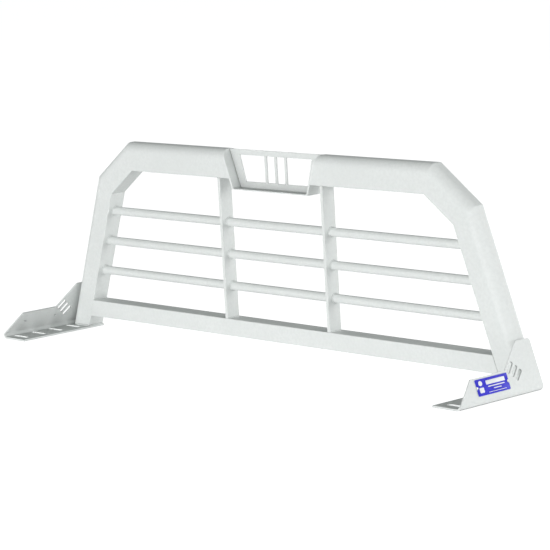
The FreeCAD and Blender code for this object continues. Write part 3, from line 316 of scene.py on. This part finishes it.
class Beads:
    """Collects fillet beads with ripples into one mesh."""

    def __init__(self):
        self.points = []
        self.faces = []

    def add(self, stations, leg, closed):
        """stations are (corner, first direction, second direction, distance along the bead)."""
        start = len(self.points)
        row = CROWN_POINTS + 1
        count = len(stations)
        for index, (corner, first, second, distance) in enumerate(stations):
            swell = VALLEY + RIPPLE_RISE * ripple(distance)
            if not closed:
                near_end = min(index, count - 1 - index)
                swell *= min(1.0, END_SIZE + END_TAPER * near_end)
            size = leg * swell
            for step in range(CROWN_POINTS):
                angle = step / (CROWN_POINTS - 1) * math.pi / 2
                flat = 1.0 / (abs(math.cos(angle)) + abs(math.sin(angle)))
                reach = size * (FLAT_SHARE * flat + ROUND_SHARE)
                if step in (0, CROWN_POINTS - 1):
                    reach = size
                point = corner + first * (math.cos(angle) * reach) + second * (math.sin(angle) * reach)
                self.points.append(point)
            self.points.append(corner)
        last = count if closed else count - 1
        for index in range(last):
            here = start + index * row
            there = start + (index + 1) % count * row
            for step in range(row):
                after = (step + 1) % row
                self.faces.append((here + step, here + after, there + after, there + step))
        if not closed:
            self.faces.append(tuple(start + step for step in range(row)))
            end = start + (count - 1) * row
            self.faces.append(tuple(end + step for step in reversed(range(row))))

    def straight(self, corner, first, second, run, leg):
        """Bead along run, in the corner between the first and second directions."""
        length = run.length
        count = max(8, int(length / RIPPLE * STEPS_PER_RIPPLE))
        stations = []
        for index in range(count + 1):
            part = index / count
            stations.append((corner + run * part, first, second, part * length))
        self.add(stations, leg, False)

    def slab(self, corner, thick, deep, run):
        """Weld that fills a slit: a bar whose two open faces are rippled."""
        count = max(8, int(run.length / RIPPLE * STEPS_PER_RIPPLE))
        start = len(self.points)
        out = deep.normalized()
        for index in range(count + 1):
            part = index / count
            dip = out * (SLAB_DIP * (1.0 - ripple(part * run.length)))
            here = corner + run * part
            self.points.extend((here + dip, here + thick + dip, here + thick + deep - dip, here + deep - dip))
        for index in range(count):
            here = start + 4 * index
            for step in range(4):
                after = (step + 1) % 4
                self.faces.append((here + step, here + after, here + 4 + after, here + 4 + step))
        self.faces.append(tuple(start + step for step in reversed(range(4))))
        self.faces.append(tuple(start + 4 * count + step for step in range(4)))

    def round(self, centre, radius, away, plane_normal, leg):
        """Ring round a rod whose axis lies along away, at a plane through centre."""
        girth = 2 * math.pi * radius
        ripples = int(girth / RIPPLE)
        count = ripples * STEPS_PER_RIPPLE
        closing = ripples * RIPPLE / girth
        stations = []
        for index in range(count):
            angle = index / count * 2 * math.pi
            spoke = Y * math.cos(angle) + Z * math.sin(angle)
            edge = centre + spoke * radius
            slide = (centre - edge).dot(plane_normal) / away.dot(plane_normal)
            corner = edge + away * slide
            outer = spoke - away * (spoke.dot(plane_normal) / away.dot(plane_normal))
            stations.append((corner, away, outer, angle * radius * closing))
        self.add(stations, leg, True)

    def finish(self, name):
        return mesh_object(name, self.points, self.faces, BEAD_COAT)


# ------------------------------------------------------------------ welds

# leg lengths of the beads
BEAD = 0.0026
FOOT_BEAD = 0.0040
BACK_BEAD = 0.0032

# sizes of the frame
INSET = 0.002  # a bead stops this far short of a tube's edge
END_PLATE = 0.0048  # thickness of the window's end plates
FLANGE = 0.0048  # thickness
FOOT_PLATE = 0.0048  # thickness of the side plate
FOOT_HALF = 0.888  # side plate's outer face from the middle of the rack, at the floor
FOOT_START = 0.003  # a foot's front bead starts this far out along the post
TAB_HEIGHT = 0.133  # top of the side plate's tab, up the plate
SEAM_START = 0.020  # where the seam between post and tab starts, up the plate
SEAM_END = 0.001  # it stops this far below the tab's top
BACK_GAP = 0.0012  # between the window's back plate and its end plates
TUBE = 0.0762  # D-section across the truck, at right angles to the post
FRONT_RADIUS = 0.0254
REAR_RADIUS = 0.0127


def corners_of(node):
    return tuple(Vector(corner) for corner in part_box(node))


def centre_of(node):
    low, high = corners_of(node)
    return (low + high) / 2, (high - low)


def mirrored(vector):
    return Vector((-vector.x, vector.y, vector.z))


rail_low, rail_high = corners_of("bottom_rail")
plate_low, _ = corners_of("right_window_end_plate")
top_low, _ = corners_of("right_top_rail")
floor_low, floor_high = corners_of("window_floor_plate")
back_low, back_high = corners_of("window_back_plate")
DEPTH = rail_high.y - rail_low.y
FRONT = rail_low.y
END_PLATE_ACROSS = END_PLATE / math.cos(LEAN)  # an end plate leans, so it is thicker across the truck


def inner_half(height):
    """The posts' inner faces pass through the bottom rail's lower ends."""
    return rail_high.x - (height - rail_low.z) * math.tan(LEAN)


def window_inner(height):
    """The window end plates' inner faces, which lean out."""
    return plate_low.x + (height - plate_low.z) * math.tan(LEAN)


rods = [centre_of(name) for name in ("lower_rod", "middle_rod", "upper_rod")]
ROD = rods[0][1].y / 2

rod_ends = Beads()
rod_bars = Beads()
for centre, _ in rods:
    level = centre.z
    for side in (-1, 1):
        place = Vector((side * inner_half(level), centre.y, level))
        normal = Vector((-side * math.cos(LEAN), 0, -math.sin(LEAN)))
        rod_ends.round(place, ROD, X * -side, normal, BEAD)
        bar, bar_size = centre_of("right_upright_bar" if side > 0 else "left_upright_bar")
        for face in (-1, 1):
            place = Vector((bar.x + face * bar_size.x / 2, centre.y, level))
            rod_bars.round(place, ROD, X * face, X * face, BEAD)
obj = rod_ends.finish("rod_end_beads")
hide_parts("rod_end_welds")
obj = rod_bars.finish("rod_bar_beads")
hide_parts("rod_bar_welds")

bar_ends = Beads()
for name in ("left_upright_bar", "right_upright_bar"):
    centre, extent = centre_of(name)
    for face in (-1, 1):
        x = centre.x + face * extent.x / 2
        run = Y * extent.y
        low = Vector((x, FRONT, centre.z - extent.z / 2))
        high = Vector((x, FRONT, centre.z + extent.z / 2))
        bar_ends.straight(low, X * face, Z, run, BEAD)
        bar_ends.straight(high, X * face, -Z, run, BEAD)
obj = bar_ends.finish("upright_bar_end_beads")
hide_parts("upright_bar_end_welds")

rail_ends = Beads()
for side in (-1, 1):
    run = Y * (DEPTH - 2 * INSET)
    upward = Vector((-side * math.sin(LEAN), 0, math.cos(LEAN)))
    for level, way in ((rail_high.z, upward), (rail_low.z, -upward)):
        corner = Vector((side * inner_half(level), FRONT + INSET, level))
        rail_ends.straight(corner, X * -side, way, run, BEAD)
obj = rail_ends.finish("bottom_rail_end_beads")
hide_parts("bottom_rail_end_welds")

window = Beads()
for side in (-1, 1):
    upward = Vector((side * math.sin(LEAN), 0, math.cos(LEAN)))
    under = Vector((side * (window_inner(top_low.z) + END_PLATE_ACROSS), FRONT, top_low.z))
    window.straight(under, X * side, -upward, Y * DEPTH, BEAD)
    corner = Vector((side * window_inner(floor_high.z), FRONT, floor_high.z))
    window.straight(corner, X * -side, upward, Y * (floor_high.y - floor_low.y), BEAD)
    start = back_low.z + BACK_BEAD
    behind = Vector((side * window_inner(start), back_high.y, start))
    rise = upward * ((back_high.z - BACK_BEAD - start) / math.cos(LEAN))
    across = X * (-side * (1 + BACK_GAP / BACK_BEAD))
    window.straight(behind, Y, across, rise, BACK_BEAD)
obj = window.finish("window_beads")
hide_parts("window_welds")

for side, label in ((1, "right"), (-1, "left")):
    foot = Beads()
    upward = Vector((-side * math.sin(LEAN), 0, math.cos(LEAN)))
    base = Vector((side * inner_half(FLANGE), FRONT, FLANGE))
    foot.straight(base + Y * INSET, X * -side, upward, Y * (DEPTH - 2 * INSET), FOOT_BEAD)
    flat = (TUBE - FRONT_RADIUS) / math.cos(LEAN)
    run = X * (side * (flat - FOOT_START))
    foot.straight(base + X * (side * FOOT_START), -Y, Z, run, FOOT_BEAD)
    plate_face = Vector((FOOT_HALF, FRONT, 0)) - POST_OUT * FOOT_PLATE
    slit = inner_half(0) * math.cos(LEAN) + TUBE - (FOOT_HALF * math.cos(LEAN) - FOOT_PLATE)
    seam = plate_face + Y * FRONT_RADIUS + POST_UP * SEAM_START
    thick = POST_OUT * slit
    rise = POST_UP * (TAB_HEIGHT - SEAM_START - SEAM_END)
    if side < 0:
        seam, thick, rise = mirrored(seam), mirrored(thick), mirrored(rise)
    foot.slab(seam, thick, Y * (DEPTH - FRONT_RADIUS - REAR_RADIUS), rise)
    obj = foot.finish(f"{label}_foot_beads")
    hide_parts(f"{label}_foot_welds")


# ------------------------------------------------------------------ nameplate print

NAME_THICK = 0.0008
NAME_MIDDLE = -0.115  # from the rack's front face
NAME_LEVEL = 0.045  # up the side plate
NAME_LENGTH = 0.1125
NAME_HEIGHT = 0.0425
RIM_WIDTH = 0.0012
FIELD_RADIUS = 0.0030
FIELD_NOTCH = 0.0044
PRINT = 0.00012  # thickness of one printed layer
PRINT_ROUND = 0.00008  # how far a panel's top draws in at its rim
SINK = 0.0001  # how deep the field is set into the plate
CORNER_STEPS = 6
NOTCH_STEPS = 12
DISC_STEPS = 24


def on_plate(side, along, up, out):
    """Point on a side plate: along the truck, up the plate, out of its outer face."""
    point = Vector((FOOT_HALF, FRONT, 0)) + Y * along + POST_UP * up + POST_OUT * out
    return point if side > 0 else mirrored(point)


def round_rectangle(width, height, radius):
    points = []
    for corner, (sx, sy) in enumerate(((1, -1), (1, 1), (-1, 1), (-1, -1))):
        for step in range(CORNER_STEPS + 1):
            angle = math.radians(-90 + 90 * corner + 90 * step / CORNER_STEPS)
            x = sx * (width / 2 - radius) + radius * math.cos(angle)
            y = sy * (height / 2 - radius) + radius * math.sin(angle)
            points.append((x, y))
    return points


def panel(name, side, middle, level, outline, low, high, material):
    """Thin printed panel on the nameplate, its rim rounded over."""
    points = []
    faces = []
    count = len(outline)
    shoulder = high * 0.8 + low * 0.2  # where the rim starts to round over
    for out, shrink in ((low, 0.0), (shoulder, 0.0), (high, PRINT_ROUND)):
        for x, y in outline:
            factor = 1 - shrink / math.hypot(x, y)
            points.append(on_plate(side, middle + x * factor, level + y * factor, out))
    for ring in range(2):
        for i in range(count):
            j = (i + 1) % count
            inner, outer = ring * count, (ring + 1) * count
            faces.append((inner + i, inner + j, outer + j, outer + i))
    faces.append(tuple(range(2 * count, 3 * count)))
    faces.append(tuple(reversed(range(count))))
    if side < 0:
        faces = [tuple(reversed(face)) for face in faces]
    return mesh_object(name, points, faces, material)


def notched(width, height, radius, notch):
    """Rounded rectangle with a half-round notch at the middle of each end."""
    points = round_rectangle(width, height, radius)
    outline = []
    for i, (x, y) in enumerate(points):
        outline.append((x, y))
        nx, ny = points[(i + 1) % len(points)]
        if x > 0 and nx > 0 and y < 0 < ny:
            end, first_angle = width / 2, -90
        elif x < 0 and nx < 0 and y > 0 > ny:
            end, first_angle = -width / 2, 90
        else:
            continue
        for step in range(NOTCH_STEPS + 1):
            angle = math.radians(first_angle - 180 * step / NOTCH_STEPS)
            outline.append((end + notch * math.cos(angle), notch * math.sin(angle)))
    return outline


def disc(radius):
    angles = [2 * math.pi * step / DISC_STEPS for step in range(DISC_STEPS)]
    return [(radius * math.cos(angle), radius * math.sin(angle)) for angle in angles]


# plain shapes in place of the printing: (name, outline, along from the middle, up from the middle)
SHAPES = [
    ("dot", disc(0.0062), -0.0385, 0.0095),
    ("block", round_rectangle(0.0150, 0.0125, 0.0020), -0.0385, -0.0070),
    ("title", round_rectangle(0.0640, 0.0100, 0.0012), 0.0120, 0.0085),
    ("line", round_rectangle(0.0560, 0.0024, 0.0008), 0.0120, -0.0015),
    ("short_line", round_rectangle(0.0260, 0.0022, 0.0008), 0.0140, -0.0080),
    ("foot_line", round_rectangle(0.0600, 0.0012, 0.0005), 0.0120, -0.0150),
]

for side, label in ((1, "right"), (-1, "left")):
    field = notched(NAME_LENGTH - 2 * RIM_WIDTH, NAME_HEIGHT - 2 * RIM_WIDTH, FIELD_RADIUS, FIELD_NOTCH)
    panel(
        f"{label}_nameplate_field", side, NAME_MIDDLE, NAME_LEVEL, field,
        NAME_THICK - SINK, NAME_THICK + PRINT, BLUE,
    )
    for word, outline, along, rise in SHAPES:
        panel(
            f"{label}_nameplate_{word}", side, NAME_MIDDLE + side * along, NAME_LEVEL + rise, outline,
            NAME_THICK, NAME_THICK + 2 * PRINT, WHITE,
        )


# ------------------------------------------------------------------ stage

FLOOR_HALF = 60.0
FLOOR_LEVEL = -0.0002
PATCH_LEVEL = -0.0001
BOUNCE_LEVEL = 0.0005
SLOT_MIDDLE = 0.8405
SLOT_LENGTH = 0.056
SLOT_WIDTH = 0.013
SLOT_PITCH = 0.061
SLOTS = 4
CORNERS = ((-1, -1), (1, -1), (1, 1), (-1, 1))


def stage_object(name, points, faces, glow, roughness, gloss):
    """Pale sheet with a glow of its own."""
    mesh = bpy.data.meshes.new(name)
    mesh.from_pydata(points, [], faces)
    obj = bpy.data.objects.new(name, mesh)
    bpy.context.scene.collection.objects.link(obj)
    made = Nodes(name)
    made.shader.inputs["Base Color"].default_value = (0.75, 0.75, 0.75, 1.0)
    made.shader.inputs["Roughness"].default_value = roughness
    made.shader.inputs["Specular IOR Level"].default_value = gloss
    made.shader.inputs["Emission Color"].default_value = (1.0, 1.0, 1.0, 1.0)
    made.shader.inputs["Emission Strength"].default_value = glow
    mesh.materials.append(made.material)
    return obj


floor_points = [(across * FLOOR_HALF, along * FLOOR_HALF, 0) for across, along in CORNERS]
floor = stage_object("floor", floor_points, [(0, 1, 2, 3)], glow=0.80, roughness=0.9, gloss=0.0)
floor.location.z = FLOOR_LEVEL

# the floor's own glow keeps it white and lights nothing else
glow_receivers = bpy.data.collections.new("glow_receivers")
glow_receivers.objects.link(floor)
floor.light_linking.receiver_collection = glow_receivers

# the patches of floor under the clamp slots do light the slots' walls
patch_points = []
patch_faces = []
for side in (-1, 1):
    for number in range(SLOTS):
        middle = (number - (SLOTS - 1) / 2) * SLOT_PITCH
        first = len(patch_points)
        for across, along in CORNERS:
            x = side * SLOT_MIDDLE + across * SLOT_LENGTH / 2
            patch_points.append((x, middle + along * SLOT_WIDTH / 2, PATCH_LEVEL))
        patch_faces.append((first, first + 1, first + 2, first + 3))
patch = stage_object("floor_in_slots", patch_points, patch_faces, glow=1.4, roughness=0.5, gloss=0.5)

world = bpy.data.worlds.new("studio")
bpy.context.scene.world = world
world.use_nodes = True
background = world.node_tree.nodes["Background"]
background.inputs["Color"].default_value = (0.95, 1.0, 0.98, 1.0)
background.inputs["Strength"].default_value = 0.278

RACK_MIDDLE = Vector((0, FRONT + DEPTH / 2, 0.27))  # half-way up
LIGHT_DISTANCE = 6.5


def soft_light(name, azimuth, climb, width, height, power):
    """Softbox aimed at the rack; azimuth turns from straight ahead of the rack towards +X."""
    turned = math.radians(azimuth)
    way = Vector((math.sin(turned), -math.cos(turned), climb)).normalized()
    light = bpy.data.lights.new(name, "AREA")
    light.shape = "RECTANGLE"
    light.size = width
    light.size_y = height
    light.energy = power
    obj = bpy.data.objects.new(name, light)
    bpy.context.scene.collection.objects.link(obj)
    obj.location = RACK_MIDDLE + way * LIGHT_DISTANCE
    obj.rotation_euler = (-way).to_track_quat("-Z", "Y").to_euler()
    obj.visible_camera = False
    return obj


# name, azimuth in degrees, climb, width, height, power in watts
SOFTBOXES = [
    ("front_softbox", 5, 0.07, 3.0, 1.2, 245),
    ("left_softbox", -60, 0.07, 3.0, 1.2, 32),
    ("right_softbox", 90, 0.05, 2.4, 1.0, 77),
    ("rear_softbox", 119, 0.40, 5.0, 3.6, 134),
    ("back_softbox", 168, 0.08, 4.0, 1.2, 120),
]
for softbox in SOFTBOXES:
    soft_light(*softbox)

# light that the white floor gives back, close under the rack
bounce = soft_light("floor_bounce", 0, 0.0, 2.6, 1.2, 2.1)
bounce.location = (0, FRONT, BOUNCE_LEVEL)
bounce.rotation_euler = (math.pi, 0, 0)

YAW = math.radians(48.096)
PITCH = math.radians(9.08)
ROLL = math.radians(-3.245)
CAMERA_PLACE = (5.1249, FRONT - 4.5950, 1.3156)
SENSOR = 36.0
LENS = 175.339636

forward = Vector((-math.sin(YAW) * math.cos(PITCH), math.cos(YAW) * math.cos(PITCH), -math.sin(PITCH)))
level_right = Vector((math.cos(YAW), math.sin(YAW), 0))
level_up = level_right.cross(forward)
right = level_right * math.cos(ROLL) + level_up * math.sin(ROLL)
up = level_up * math.cos(ROLL) - level_right * math.sin(ROLL)
turn = Matrix((right, up, -forward)).transposed()
camera = bpy.data.cameras.new("camera")
camera.sensor_width = SENSOR
camera.lens = LENS
camera.clip_end = 500.0
camera_object = bpy.data.objects.new("camera", camera)
bpy.context.scene.collection.objects.link(camera_object)
camera_object.matrix_world = Matrix.Translation(CAMERA_PLACE) @ turn.to_4x4()
bpy.context.scene.camera = camera_object
bpy.context.scene.view_settings.view_transform = "Standard"
